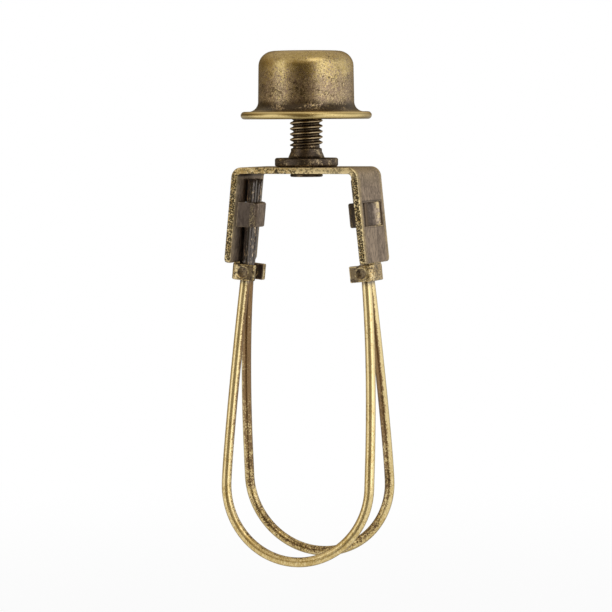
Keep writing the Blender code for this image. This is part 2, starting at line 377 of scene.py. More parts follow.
# Where an outer edge is near enough to be rubbed
def makeEdgeWear():
    inputs = {"Radius": 0.0003, "Breakup": 0.5}
    group, start, end = newEffect("edgeWear", inputs, {"Mask": "NodeSocketFloat"})
    rounded = addNode(group, "ShaderNodeBevel", {"Radius": start["Radius"]}, samples=6)[0]
    match = dot(rounded, addNode(group, "ShaderNodeNewGeometry")["Normal"])
    feed(end["Mask"], spread(match, 1.0, 0.86) * spread(start["Breakup"], 0.25, 0.7, 0.45, 1.0))
    return group


speckle = makeSpeckle()
rubbing = makeScratches()
edgeWear = makeEdgeWear()
print("shared effects made")


def speckles(point, grain, cover, softness, cloud):
    inputs = {"Coordinates": point, "Grain": grain, "Cover": cover, "Softness": softness, "Cloud": cloud}
    return useEffect(point.tree, speckle, inputs)


def rubbedEdges(radius, breakup):
    return useEffect(breakup.tree, edgeWear, {"Radius": radius, "Breakup": breakup})["Mask"]


# Bracket, one folded sheet

bracketSizes = {
    "sheet": 0.0012,
    "span": 0.0240,
    "depth": 0.0138,
    "bend": 0.0019,
    "flare": 5.7,  # degrees
    "leg": 0.0175,
    "corner": 0.0009,
    "softening": 0.00028,
    "strapStart": 0.0063,
    "strapHeight": 0.0045,
    "slit": 0.0104,
    "strapSheet": 0.0008,
    "strapSlope": 0.0032,
    "strapRound": 0.0014,
    "strapSpread": 0.00015,
    "strapSoftening": 0.00032,
    "roundFrom": 0.0014,
    "roundTo": 0.0026,
    "strapFace": 0.0040,  # depth of its inner face from the leg's outer face
    "tabGap": 0.0002,
    "neckInset": 0.00004,
    "tabWidth": 0.0067,
    "tabHeight": 0.0030,
    "tabBend": 0.0015,
    "tabSoftening": 0.00022,
    "earReach": 0.0034,
    "earLean": 0.0003,
    "dimpleRadius": 0.0011,
    "dimpleDepth": 0.00035,
    "dimplePlace": 0.0024,  # from the leg's outer face
    "wirePlay": 0.0001,
    "rivetHole": 0.00215,
    "holeSteps": 64,
}


def tabMiddle(s):
    return s["leg"] + s["tabGap"] + s["tabHeight"] / 2


sheetFinish = {
    "gold": (0.96, 0.765, 0.390),
    "inner": (0.120, 0.086, 0.063),
    "innerPale": (0.330, 0.250, 0.190),
    "outer": (0.370, 0.286, 0.222),
    "shade": (0.110, 0.078, 0.058),
    "deepShade": (0.066, 0.050, 0.041),
    "pale": (0.640, 0.510, 0.385),
    "sheared": (0.560, 0.390, 0.145),
    "bright": (1.000, 0.810, 0.440),
    "pit": (0.026, 0.016, 0.007),
    "topGold": (0.540, 0.425, 0.270),
    "burnished": (0.820, 0.645, 0.340),
    "shearedMetallic": 0.80,
    "coat": 0.12,
    "coatRoughness": 0.3,
    "pitSpacing": 0.00028,
    # places between which a zone fades in: from the sheared edge
    "beside": (0.0023, 0.0002),
    "rubbedLine": (0.0007, 0.0003),
    # below the plate's top
    "topFade": (0.0050, 0.0),
    "legTop": (0.0012, 0.0024),
    "legFoot": (0.0178, 0.0172),
    # inwards from the leg's outer face
    "strapDeep": (0.0005, 0.0015),
    "strapClear": (0.0037, 0.0034),
    "strapRoots": (0.0012, 0.0004),
    "atSurface": (0.0012, 0.0009),
    # outwards from the straps' inner face
    "bendStart": (0.0014, 0.0008),
    "bendEnd": (0.0004, 0.0001),
    # from front to back, and from left to right
    "rootSide": (-0.001, 0.001),
    "brightEnd": (-0.004, 0.006),
    # away from the window and from the dimple's edge
    "windowRim": (0.0004, 0.0001),
    "ring": (0.00014, 0.00004),
}


# How deep a place lies inwards from the outer faces of the legs, and how far down a leg
def placeOnLeg(split):
    slope = math.radians(bracketSizes["flare"])
    inwards = bracketSizes["span"] / 2 - abs(split["X"])
    down = layout["plateTop"] - split["Z"]
    depth = inwards * math.cos(slope) + down * math.sin(slope)
    return depth, down * math.cos(slope) - inwards * math.sin(slope)


# Where a point of the folded sheet lies, and what the mesh says of its face
def placesOnSheet(point):
    split = parts(point)
    depth, along = placeOnLeg(split)
    at = {"point": point, "x": split["X"], "y": split["Y"], "depth": depth, "along": along}
    at["below"] = layout["plateTop"] - split["Z"]
    at["toEdge"] = bracketSizes["depth"] / 2 - abs(split["Y"])
    for name in ("outward", "sheared", "strap"):
        at[name] = addNode(point.tree, "ShaderNodeAttribute", attribute_name=name)["Fac"]
    return at


# Brown inside; outside paler, burnished beside the cut edges, with a bright line at them that is rubbed and
# a painted highlight, and faint streaks down the legs
def paintFaces(s, at, fine, rubbedAndLit):
    point = drawnOut(at["point"], 0.30)
    streaks = speckles(point, grain=0.00036, cover=0.42, softness=0.05, cloud=0.5)["Mask"]
    outer = paint(s["outer"], s["topGold"], spread(at["below"], *s["topFade"]) * 0.8)
    outer = paint(outer, s["burnished"], spread(at["toEdge"], *s["beside"]) * 0.95)
    # a bright line right at the edge, rubbed and a painted highlight
    outer = paint(outer, s["gold"], rubbedAndLit * 0.95)
    inner = paint(s["inner"], s["innerPale"], streaks * spread(at["strap"], 0.0, 1.0, 0.35, 0.9))
    skin = paint(paint(inner, outer, at["outward"]), s["shade"], fine["Mask"] * 0.55)
    return paint(skin, s["pale"], streaks * (at["outward"] * 0.78))


# The straps: painted shade where they lie deep in the window, gold specks where the web bends and is worn,
# and a speckled painted highlight on the back half of their roots
def paintStraps(s, at, skin):
    start, depth = bracketSizes["strapStart"], at["depth"]
    # painted shade where the straps lie deep in the window
    deep = spread(depth, *s["strapDeep"]) * spread(depth, *s["strapClear"]) * at["strap"]
    before = bracketSizes["strapFace"] - depth
    webBend = spread(before, *s["bendStart"], 0.0, 0.95) * spread(before, *s["bendEnd"], 1.0, 0.15)
    webBend = webBend * spread(at["along"], start, start + bracketSizes["strapHeight"], 0.3, 1.0)
    # a painted highlight on the back half of the roots
    roots = spread(depth, *s["strapRoots"], 0.0, 0.9) * spread(at["y"], *s["rootSide"])
    wornAndGlint = speckles(at["point"], grain=0.00024, cover=0.42, softness=0.03, cloud=0.6)["Mask"]
    wornAndGlint = wornAndGlint * at["strap"] * (roots + webBend * (1.0 - at["outward"]))
    return paint(paint(skin, s["deepShade"], deep * 0.8), s["gold"], wornAndGlint * 0.9)


# Sheared edges: rows of small dark pits down the legs, coarser mottling on the plate and the ears
def paintCuts(s, at):
    grid = {"Vector": at["point"], "Scale": 1 / s["pitSpacing"], "Randomness": 0.85}
    pitted = spread(addNode(at["point"].tree, "ShaderNodeTexVoronoi", grid)["Distance"], 0.60, 0.53)
    mottled = speckles(at["point"], grain=0.00042, cover=0.40, softness=0.04, cloud=0.4)["Mask"]
    points = speckles(at["point"], grain=0.00026, cover=0.52, softness=0.04, cloud=0.5)["Mask"]
    onLegs = spread(at["below"], *s["legTop"]) * spread(at["below"], *s["legFoot"])
    # a painted highlight makes the plate's edge brighter towards the right
    bright = spread(at["x"], *s["brightEnd"]) * spread(at["below"], *s["legTop"][::-1])
    pits = pitted * onLegs + mottled * (1.0 - onLegs - bright * 0.35)
    cut = paint(s["sheared"], s["bright"], points * 0.95)
    return paint(paint(cut, s["bright"], bright * 0.9), s["pit"], pits * 0.92)


# The window and its rim, darkened there as painted shade, where nothing rubs
def windowMask(s, at):
    high, wide = bracketSizes["strapHeight"] / 2, bracketSizes["slit"] / 2
    mask = spread(at["depth"], *s["atSurface"])
    for offset, half in ((at["y"], wide), (at["along"] - (bracketSizes["strapStart"] + high), high)):
        mask = mask * spread(abs(offset), *[half + rim for rim in s["windowRim"]])
    return mask


# A thin bright ring round each ear's dimple
def dimpleRing(s, at, fine):
    inwards, down = at["depth"] - bracketSizes["dimplePlace"], at["along"] - tabMiddle(bracketSizes)
    fromDimple = (inwards * inwards + down * down).math("SQRT")
    ring = spread(abs(fromDimple - bracketSizes["dimpleRadius"]), *s["ring"])
    return ring * spread(fine["Height"], 0.48, 0.56)


def makeSheetBrass(s):
    material, inputs, point = startMaterial("foldedSheetBrass", s)
    at = placesOnSheet(point)
    rubbedAndLit = spread(at["toEdge"], *s["rubbedLine"])
    fine = speckles(point, grain=0.00036, cover=0.5, softness=0.10, cloud=0.4)
    skin = paintStraps(s, at, paintFaces(s, at, fine, rubbedAndLit))
    window = windowMask(s, at)
    # painted shade round the window, off the straps
    skin = paint(skin, s["shade"], window * spread(at["strap"], 0.0, 1.0, 0.75, 0.0))
    colour = paint(skin, paintCuts(s, at), at["sheared"])
    # bright where an edge is rubbed, least inside the legs, on the straps and round the windows
    worn = rubbedEdges(radius=0.00040, breakup=fine["Height"])
    for mask, off, on in ((at["outward"], 0.35, 0.95), (at["strap"], 1.0, 0.15), (window, 1.0, 0.15)):
        worn = worn * spread(mask, 0.0, 1.0, off, on)
    colour = paint(colour, s["gold"], worn)
    colour = paint(colour, s["gold"], dimpleRing(s, at, fine) * 0.7)
    # freshly sheared and rubbed metal scatters a little light
    scatter = larger(at["sheared"], rubbedAndLit * at["outward"] * 0.7)
    feed(inputs["Metallic"], spread(scatter, 0.0, 1.0, 1.0, s["shearedMetallic"]))
    roughness = spread(at["sheared"], 0.0, 1.0, 0.42, 0.28)
    finishMaterial(inputs, colour, roughness, fine["Height"], strength=0.3, distance=0.00006)
    return material


sheetBrass = makeSheetBrass(sheetFinish)


# A leg's own frame: X inwards from its outer face, Y across, Z down the leg
def rightLegFrame():
    slope = math.radians(bracketSizes["flare"])
    inwards = Vector((-math.cos(slope), 0, -math.sin(slope)))
    across = Vector((0, 1, 0))
    down = Vector((math.sin(slope), 0, -math.cos(slope)))
    legFrame = Matrix((inwards, across, down)).transposed().to_4x4()
    legFrame.translation = Vector((bracketSizes["span"] / 2, 0, layout["plateTop"]))
    return legFrame


def foldedStrip(s):
    slope = math.radians(s["flare"])
    out = s["span"] / 2 + s["leg"] * math.sin(slope)
    down = -s["leg"] * math.cos(slope)
    corners = [(-out, down), (-s["span"] / 2, 0), (s["span"] / 2, 0), (out, down)]
    path = roundedPath(corners, s["bend"], 14)
    upright = Matrix.Translation((0, 0, layout["plateTop"])) @ Matrix.Rotation(math.pi / 2, 4, "X")
    obj = foldedBand("bracketStrip", path, -s["depth"] / 2, s["depth"], upright)
    corner = obj.vertex_groups.new(name="free corners")
    half = len(path)
    corner.add([0, half - 1, half, 2 * half - 1], 1.0, "REPLACE")
    modify(obj, "rounded corners", "BEVEL", affect="VERTICES", limit_method="VGROUP",
           vertex_group=corner.name, width=s["corner"], segments=10)
    thicken(obj, s["sheet"], 1)
    return obj


def legWindow(s, legFrame):
    low = s["strapStart"] + s["strapSpread"]
    high = s["strapStart"] + s["strapHeight"] - s["strapSpread"]
    return block("window", s["slit"] / 2, (low, high), (-s["sheet"], 2 * s["sheet"]), legFrame)


def lancedStrap(s, legFrame):
    middle = s["sheet"] / 2
    foot = s["slit"] / 2
    web = s["sheet"] + 2 * s["wirePlay"] + layout["wire"] + s["strapSheet"] / 2
    corners = [
        (middle, -foot - middle),
        (middle, -foot),
        (web, -foot + s["strapSlope"]),
        (web, foot - s["strapSlope"]),
        (middle, foot),
        (middle, foot + middle),
    ]
    path = roundedPath(corners, s["strapRound"], 8)
    obj = foldedBand("strap", path, s["strapStart"], s["strapHeight"], legFrame)
    thicken(obj, s["strapSheet"], 0)
    # its edges are round where the press pushed it furthest in, and still sharp at its roots
    solid = addObject("strapSolid", evaluatedMesh(obj, "strapSolid"))
    bpy.data.objects.remove(obj)
    toLeg = legFrame.inverted()
    bm = bmesh.new()
    bm.from_mesh(solid.data)
    roundness = bm.edges.layers.float.new("bevel_weight_edge")
    for edge in bm.edges:
        if edge.calc_face_angle(0.0) > math.radians(sharpTurn):
            depth = min((toLeg @ vertex.co).x for vertex in edge.verts)
            edge[roundness] = min(1.0, max(0.0, (depth - s["roundFrom"]) / (s["roundTo"] - s["roundFrom"])))
    bm.to_mesh(solid.data)
    bm.free()
    modify(solid, "rounded edges", "BEVEL", width=s["strapSoftening"], segments=4, limit_method="WEIGHT")
    return solid


def earDimple(s, side, legFrame):
    ball = (s["dimpleRadius"] ** 2 + s["dimpleDepth"] ** 2) / (2 * s["dimpleDepth"])
    lean = s["earLean"] * s["dimplePlace"] / (s["sheet"] + s["earReach"])
    face = s["tabWidth"] / 2 - lean
    mesh = bpy.data.meshes.new("dimple")
    bm = bmesh.new()
    bmesh.ops.create_uvsphere(bm, u_segments=72, v_segments=72, radius=ball)
    bm.transform(Matrix.Rotation(math.pi / 2, 4, "X"))
    centre = (s["dimplePlace"], side * (face + ball - s["dimpleDepth"]), tabMiddle(s))
    bm.transform(legFrame @ Matrix.Translation(centre))
    bm.to_mesh(mesh)
    bm.free()
    return addObject("dimple", mesh)


def foldedTab(s, legFrame):
    back = s["sheet"] / 2
    wall = s["tabWidth"] / 2 - back
    tip = s["sheet"] + s["earReach"]
    corners = [(tip, -wall + s["earLean"]), (back, -wall), (back, wall), (tip, wall - s["earLean"])]
    path = roundedPath(corners, s["tabBend"] - back, 10)
    obj = foldedBand("tab", path, s["leg"] + s["tabGap"], s["tabHeight"], legFrame)
    thicken(obj, s["sheet"], 0)
    softenEdges(obj, s["tabSoftening"])
    for side in (-1, 1):
        combine(obj, earDimple(s, side, legFrame), "DIFFERENCE")
    return obj


def tabNeck(s, legFrame):
    half = s["tabWidth"] / 2 - s["tabBend"]
    down = (s["leg"] - 2 * s["sheet"], tabMiddle(s))
    return block("neck", half, down, (s["neckInset"], s["sheet"] - s["neckInset"]), legFrame)


# How much each face was cut by the press, and how much it faces outwards
def markFaces(mesh, s):
    toLeg = rightLegFrame().inverted()
    turn = toLeg.to_3x3()
    sheared, outward, strap = [], [], []
    tabStart = s["leg"] + s["tabGap"] / 2
    facing = 0.6  # least share of a normal along an axis
    margin = 0.0001
    for face in mesh.polygons:
        # both legs alike, as seen from the right one
        mirror = Vector((1 if face.center.x > 0 else -1, 1, 1))
        spot = toLeg @ (face.center * mirror)
        normal = turn @ (face.normal * mirror)
        endways = abs(normal.y)
        value, dimpled = 0.0, False
        if spot.z > tabStart and spot.x > -s["sheet"]:
            fromDimple = math.hypot(spot.x - s["dimplePlace"], spot.z - tabMiddle(s))
            if endways > facing:
                value = 0.85 if normal.y * spot.y > 0 else 0.0
                if fromDimple < s["dimpleRadius"] * 0.95:
                    value, dimpled = value * 0.25, True
            elif normal.x > facing and spot.x > 2 * s["sheet"]:
                value = 1.0
            elif abs(normal.z) > facing:
                value = 0.6
            elif normal.x < -0.3:
                value = 0.75
        elif spot.x > s["sheet"] * 1.1 and spot.z > s["strapStart"] - s["sheet"]:
            value = 0.15 if abs(normal.z) > facing else 0.0
        elif endways > facing and abs(face.center.y) > s["slit"] / 2 + s["sheet"] / 2:
            value = 1.0
        elif normal.z > facing and spot.z > s["leg"] - s["sheet"]:
            value = 1.0
        within = s["strapStart"] - margin < spot.z < s["strapStart"] + s["strapHeight"] + margin
        lanced = within and abs(spot.y) < s["slit"] / 2 + s["sheet"] / 2 and spot.x > -margin
        edgeOfWindow = abs(spot.y) > s["slit"] / 2 - 3 * margin or abs(normal.z) > facing
        strap.append(1.0 if lanced and (spot.x > s["sheet"] or not edgeOfWindow) else 0.0)
        sheared.append(value)
        up = face.normal.z if spot.z < s["bend"] else 0.0
        outward.append(0.0 if dimpled else min(1.0, max(0.0, 0.5 - 0.9 * min(normal.x, -up))))
    for name, values in (("sheared", sheared), ("outward", outward), ("strap", strap)):
        mesh.attributes.new(name, "FLOAT", "FACE").data.foreach_set("value", values)


def buildBracket(s):
    strip = foldedStrip(s)
    right = rightLegFrame()
    legs = (right, Matrix.Rotation(math.pi, 4, "Z") @ right)
    for legFrame in legs:
        combine(strip, legWindow(s, legFrame), "DIFFERENCE")
    top, under = layout["plateTop"] + s["sheet"], layout["plateTop"] - 2 * s["sheet"]
    profile = [(0, top), (s["rivetHole"], top), (s["rivetHole"], under), (0, under)]
    combine(strip, addObject("rivetHole", turnedMesh("rivetHole", profile, s["holeSteps"])), "DIFFERENCE")
    softenEdges(strip, s["softening"])
    for legFrame in legs:
        for tool in (lancedStrap(s, legFrame), tabNeck(s, legFrame), foldedTab(s, legFrame)):
            combine(strip, tool, "UNION")
    shape = addObject("bracketShape", evaluatedMesh(strip, "bracketShape"))
    shape.data.set_sharp_from_angle(angle=math.radians(creaseTurn))
    for face in shape.data.polygons:
        face.use_smooth = True
    modify(shape, "even shading", "WEIGHTED_NORMAL", keep_sharp=True)
    mesh = evaluatedMesh(shape, "bracketSheet")
    markFaces(mesh, s)
    bpy.data.objects.remove(strip)
    bpy.data.objects.remove(shape)
    piece = finishMesh("bracketSheet", mesh, sheetBrass)
    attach(piece, "bracket")
    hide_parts("bracket")
    return piece


bracketPiece = buildBracket(bracketSizes)
for tool in cutters:
    bpy.data.objects.remove(tool)
print("bracket made:", len(bracketPiece.data.polygons), "faces")


# Stud, with its thread

studSizes = {
    "top": 0.0135,  # above the plate
    "endStep": 0.0002,
    "lead": 0.0006,
    "relief": (0.00245, 0.0004),  # radius and height
    "bossTop": 0.0034,
    "bossTopRadius": 0.00285,
    "bossRadius": 0.0033,
    "bossRound": 0.0002,
    "fillet": 0.0001,
    "footRadius": 0.0058,
    "footThickness": 0.0016,
    "footRound": 0.0004,
    "tenonRadius": 0.0021,
    "tailRadius": 0.0030,
    "tailHeight": 0.0006,
    "tailRound": 0.0003,
    "threadDepth": 0.613,  # of the pitch
    "crestFlat": 0.22,
    "rootFlat": 0.16,
    "rowsPerTurn": 16,
    "steps": 96,
    "clearance": 0.00006,
}
studFinish = {
    "gold": (0.66, 0.510, 0.300),
    "dark": (0.068, 0.051, 0.038),
    "brown": (0.150, 0.108, 0.074),
    "crest": (0.00283, 0.00299),
    "threadStart": (0.0042, 0.0044),  # above the plate
    "coat": 0.1,
    "coatRoughness": 0.3,
}


def makeStudBrass(s):
    material, inputs, point = startMaterial("studDarkBrass", s)
    split = parts(point)
    radius = (split["X"] * split["X"] + split["Y"] * split["Y"]).math("SQRT")
    fine = speckles(point, grain=0.00024, cover=0.5, softness=0.14, cloud=0.6)
    flecks = speckles(point, grain=0.00020, cover=0.22, softness=0.05, cloud=0.9)["Mask"]
    # bare metal on the edges, on the thread's crests and in flecks
    onThread = spread(split["Z"] - layout["plateTop"], *s["threadStart"])
    crest = spread(radius, *s["crest"]) * onThread
    bare = larger(rubbedEdges(radius=0.00030, breakup=fine["Height"]) * 0.7, crest * 0.85)
    bare = larger(bare, flecks * 0.7)
    colour = paint(paint(s["dark"], s["brown"], fine["Mask"]), s["gold"], bare)
    roughness = spread(bare, 0.0, 1.0, 0.42, 0.30)
    finishMaterial(inputs, colour, roughness, fine["Height"], strength=0.3, distance=0.00005)
    return material


studBrass = makeStudBrass(studFinish)


# Radius of a right-hand thread at an angle and height
def threadSurface(angle, height, s, crest):
    pitch = layout["threadPitch"]
    along = (height / pitch - angle / (2 * math.pi)) % 1.0
    fromCrest = abs(along - 0.5) * 2
    slope = (fromCrest - s["crestFlat"]) / (1 - s["crestFlat"] - s["rootFlat"])
    return crest - s["threadDepth"] * pitch * min(1.0, max(0.0, slope))


def buildStud(s):
    plateTop = layout["plateTop"]
    top, boss = plateTop + s["top"], plateTop + s["bossTop"]
    foot, bed = plateTop + layout["seat"] + s["footThickness"], plateTop + layout["seat"]
    under = plateTop - bracketSizes["sheet"] - layout["seat"]
    crest, lead = layout["threadRadius"], s["lead"]
    reliefRadius, reliefHeight = s["relief"]
    threadFoot = boss + reliefHeight
    rows = int((top - threadFoot) / layout["threadPitch"] * s["rowsPerTurn"])
    profile = [(0, top), (crest - lead - s["endStep"], top)]
    for i in range(rows + 1):
        height = top - (top - threadFoot) * i / rows
        profile.append((min(crest, crest - lead + (top - height)), height))
    fillet, bossRound, footRound, tailRound = s["fillet"], s["bossRound"], s["footRound"], s["tailRound"]
    profile += [(reliefRadius, threadFoot - fillet), (reliefRadius, boss + fillet)]
    profile += arcPoints((s["bossTopRadius"] - bossRound, boss - bossRound), bossRound, 90, 10, 4)
    profile += [
        (s["bossTopRadius"] + fillet / 10, boss - 6 * fillet),
        (s["bossRadius"] - fillet, foot + 4 * fillet),
        (s["bossRadius"], foot + fillet),
        (s["bossRadius"] + 2 * fillet, foot),
    ]
    edge = s["footRadius"] - footRound
    profile += arcPoints((edge, foot - footRound), footRound, 90, 0, 10)
    profile += arcPoints((edge, bed + footRound), footRound, 0, -90, 10)
    profile += [(s["tenonRadius"], bed), (s["tenonRadius"], under), (s["tailRadius"] - fillet, under)]
    profile += arcPoints((s["tailRadius"] - tailRound, under - tailRound), tailRound, 0, -75, 6)
    profile += [(s["tailRadius"] * 0.5, under - s["tailHeight"]), (0, under - s["tailHeight"])]

    def cutThread(angle, radius, height):
        if height < threadFoot - tiny or radius < reliefRadius - 2 * fillet:
            return radius
        return min(radius, threadSurface(angle, height, s, crest))

    mesh = turnedMesh("threadedStud", profile, s["steps"], cut=cutThread)
    piece = finishMesh("threadedStud", mesh, studBrass)
    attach(piece, "bracket")
    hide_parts("threaded_stud")
    return piece


studPiece = buildStud(studSizes)
print("stud made:", len(studPiece.data.polygons), "faces")


# Cap, a drawn sheet with a rolled hem

capSizes = {
    "height": 0.0118,
    "sheet": 0.0006,
    "topRadius": 0.0087,
    "footRadius": 0.0088,
    "shoulder": 0.0028,
    "crownRise": 0.00006,
    "cove": 0.0018,
    "brimRadius": 0.0120,
    "hemRadius": 0.0007,
    "steps": 128,
}
capFinish = {
    "gold": (0.53, 0.390, 0.142),
    "goldLight": (0.95, 0.745, 0.400),
    "mauve": (0.30, 0.208, 0.158),
    "speck": (0.085, 0.054, 0.022),
    "dark": (0.045, 0.031, 0.019),
    "hem": (0.52, 0.395, 0.150),
    "hemLine": (0.92, 0.720, 0.330),
    "coat": 0.12,
    "coatRoughness": 0.2,
    # heights above the middle of the hem between which each zone fades
    "wall": (0.0044, 0.0102),
    "coveTop": (0.0032, 0.0017),
    "coveFoot": (0.0011, 0.0006),
    "rim": (0.0010, 0.0006),
    # the two painted highlight lines round the hem: height, and how far off they fade out and are full
    "hemLines": ((0.00047, 0.00016, 0.00006), (-0.00014, 0.00028, 0.00010)),
}


def makeCapBrass(s):
    material, inputs, point = startMaterial("capBurnishedBrass", s)
    above = parts(point)["Z"] - hemHeight
    # burnished bright on the shoulder and the hem, with painted highlight lines round the hem, browner down
    # the wall, dark in the cove
    cover = spread(above, *s["wall"], 0.76, 0.28)
    fine = speckles(point, grain=0.00028, cover=cover, softness=0.05, cloud=0.3)
    broad = speckles(point, grain=0.0018, cover=0.45, softness=0.25, cloud=0.4)["Mask"]
    specks = speckles(point, grain=0.00025, cover=cover * 0.52, softness=0.05, cloud=0.5)["Mask"]
    coveSpecks = speckles(point, grain=0.00034, cover=0.80, softness=0.08, cloud=0.8)["Mask"]
    scratches = {"Coordinates": point, "Spacing": 0.00036, "Width": 0.036, "Cover": 0.62}
    colour = paint(s["gold"], s["goldLight"], broad * 0.20)
    colour = paint(colour, s["mauve"], fine["Mask"] * 0.85)
    colour = paint(colour, s["speck"], specks * 0.85)
    colour = paint(colour, s["goldLight"], useEffect(point.tree, rubbing, scratches)["Mask"] * 0.8)
    cove = spread(above, *s["coveTop"]) - spread(above, *s["coveFoot"])
    colour = paint(colour, s["dark"], cove * coveSpecks * 0.88)
    rim = spread(above, *s["rim"])
    colour = paint(colour, s["hem"], rim * 0.85)
    # two painted highlight lines round the hem
    lines = [spread(abs(above - middle), *width) for middle, *width in s["hemLines"]]
    colour = paint(colour, s["hemLine"], larger(*lines) * spread(fine["Height"], 0.3, 0.6, 0.6, 1.0))
    roughness = spread(fine["Mask"], 0.0, 1.0, 0.26, 0.34) - rim * 0.08
    finishMaterial(inputs, colour, roughness, fine["Height"], strength=0.35, distance=0.00005)
    return material


capBrass = makeCapBrass(capFinish)


def buildCap(s):
    hem = hemHeight
    crown = hem + s["height"]
    shoulder = (s["topRadius"] - s["shoulder"], crown - s["crownRise"] - s["shoulder"])
    hemCentre = s["brimRadius"] - s["hemRadius"]
    cove = (s["footRadius"] + s["cove"], hem + s["hemRadius"] + s["cove"])
    shares = [i / 8 for i in range(1, 8)]
    widening, fall = s["footRadius"] - s["topRadius"], cove[1] - shoulder[1]
    outside = [(0, crown)]
    outside += [(shoulder[0] * share, crown - s["crownRise"] * share ** 2) for share in shares]
    outside += arcPoints(shoulder, s["shoulder"], 88, 0, 20)
    outside += [(s["topRadius"] + widening * share, shoulder[1] + fall * share) for share in shares]
    outside += arcPoints(cove, s["cove"], 180, 270, 14)
    outside += arcPoints((hemCentre, hem), s["hemRadius"], 90, -165, 24)
    inside = arcPoints(cove, s["cove"] + s["sheet"], 270, 180, 12)
    inside += arcPoints(shoulder, s["shoulder"] - s["sheet"], 0, 88, 14)
    inside += [(0, crown - s["sheet"])]
    mesh = turnedMesh("capShell", outside + inside, s["steps"])
    piece = finishMesh("capShell", mesh, capBrass)
    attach(piece, "cap")
    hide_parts("cap_shell")


# Nut inside the cap
nutSizes = {
    "radius": 0.0045,
    "start": 0.0015,
    "chamfer": 0.0005,
    "borePlay": 0.00012,
}


def buildNut(s):
    hem = hemHeight
    low = hem + s["start"]
    high = hem + capSizes["height"] - capSizes["crownRise"] - capSizes["sheet"] - layout["seat"]
    bore = layout["threadRadius"] + s["borePlay"]
    chamfer = s["chamfer"]
    profile = [
        (s["radius"] - chamfer, high),
        (s["radius"], high - chamfer),
        (s["radius"], low + chamfer),
        (s["radius"] - chamfer, low),
        (bore + chamfer, low),
    ]
    rows = int((high - low - chamfer) / layout["threadPitch"] * studSizes["rowsPerTurn"])
    for i in range(rows + 1):
        profile.append((bore, low + chamfer + (high - low - chamfer) * i / rows))

    def cutBore(angle, radius, height):
        if radius > bore + tiny:
            return radius
        return threadSurface(angle, height, studSizes, layout["threadRadius"]) + studSizes["clearance"]

    mesh = turnedMesh("capNut", profile, studSizes["steps"], closed=True, cut=cutBore)
    piece = finishMesh("capNut", mesh, studBrass)
    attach(piece, "cap_carrier")
    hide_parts("cap_nut")


buildNut(nutSizes)
buildCap(capSizes)
print("cap and nut made")


# Spring wire loops

loopSizes = {
    "depth": 0.0022,  # wire's centre from the leg's outer face
    "top": 0.0020,
    "topSpread": 0.0015,
    "tabSpread": 0.00095,
    "radius": 0.0139,
    "spread": 0.0058,
    "bottomSpread": 0.0071,
    "exitPull": 0.0168,
    "exitSplay": 4.0,  # degrees
    "arcPull": 0.0045,
    "leave": 0.0001,
    "steps": (6, 10, 40, 40),  # along the held end, between the ears, down the free part and round the arc
    "sides": 24,
    "endRound": 0.0003,
    "endRings": (0.35, 0.75, 1.0),  # shares of the rounding
    "bendLength": 0.020,  # below the ears, over which the wire springs
}
wireFinish = {
    "gold": (1.00, 0.810, 0.420),
    "goldDeep": (0.62, 0.435, 0.150),
    "brown": (0.34, 0.210, 0.095),
    "dark": (0.110, 0.068, 0.030),
    "held": (0.110, 0.092, 0.082),
    "streak": (1.000, 0.780, 0.520),
    "metallic": 0.86,
    "coat": 0.12,
    "heldCoat": 1.0,
    "coatRoughness": 0.18,
    # heights between which the patina changes, and from which the held ends are painted shade
    "deeper": (0.020, -0.012),
    "most": (-0.004, 0.026),
    "upper": (0.014, 0.032),
    "heldFrom": (0.0362, 0.0375),
    "strapRim": (-0.0002, 0.0003),  # off the strap's edges
}


def makeWireBrass(s):
    material, inputs, point = startMaterial("springWireBrass", s)
    inputs["Metallic"].default_value = s["metallic"]
    split = parts(point)
    height = split["Z"]
    deeper = spread(height, *s["deeper"], 0.14, 0.55)
    fine = speckles(drawnOut(point, 0.5), grain=0.00022, cover=deeper, softness=0.16, cloud=0.5)
    # browner inside the loops, on the sides where the two loops face each other and towards the bracket,
    # bare gold outside: patina, with painted shade on the sides that face inwards
    upper = spread(height, *s["upper"])
    inside, outside = spread(upper, 0.0, 1.0, -0.8, -0.5), spread(upper, 0.0, 1.0, 0.40, 0.30)
    outer = addNode(point.tree, "ShaderNodeAttribute", attribute_name="outerSide")["Fac"]
    cover = spread(height, *s["most"], 0.52, 1.0) * (1.0 - spread(outer, inside, outside))
    patches = speckles(point, grain=0.00028, cover=cover, softness=0.07, cloud=0.5)["Mask"]
    gold = paint(s["gold"], s["goldDeep"], fine["Mask"])
    colour = paint(gold, paint(s["brown"], s["dark"], fine["Mask"]), patches)
    # the held ends inside the legs are dark as painted shade
    held = spread(height, *s["heldFrom"])
    colour = paint(colour, paint(s["held"], s["dark"], fine["Mask"] * 0.6), held)
    # painted shade on the held ends, darkest under the straps, and painted highlight streaks along them
    # where no strap covers them
    half = bracketSizes["strapHeight"] / 2
    offStrap = abs(placeOnLeg(split)[1] - (bracketSizes["strapStart"] + half))
    shown = held * spread(offStrap, *[half + rim for rim in s["strapRim"]])
    streaks = speckles(drawnOut(point, 0.16), grain=0.00018, cover=0.26, softness=0.04, cloud=0.4)["Mask"]
    colour = paint(colour, s["dark"], (held - shown) * 0.6)
    colour = paint(colour, s["streak"], streaks * shown * 0.9)
    feed(inputs["Coat Weight"], spread(shown, 0.0, 1.0, s["coat"], s["heldCoat"]))
    roughness = spread(patches, 0.0, 1.0, 0.23, 0.26) - held * 0.03
    finishMaterial(inputs, colour, roughness, fine["Height"], strength=0.2, distance=0.00004)
    return material


wireBrass = makeWireBrass(wireFinish)


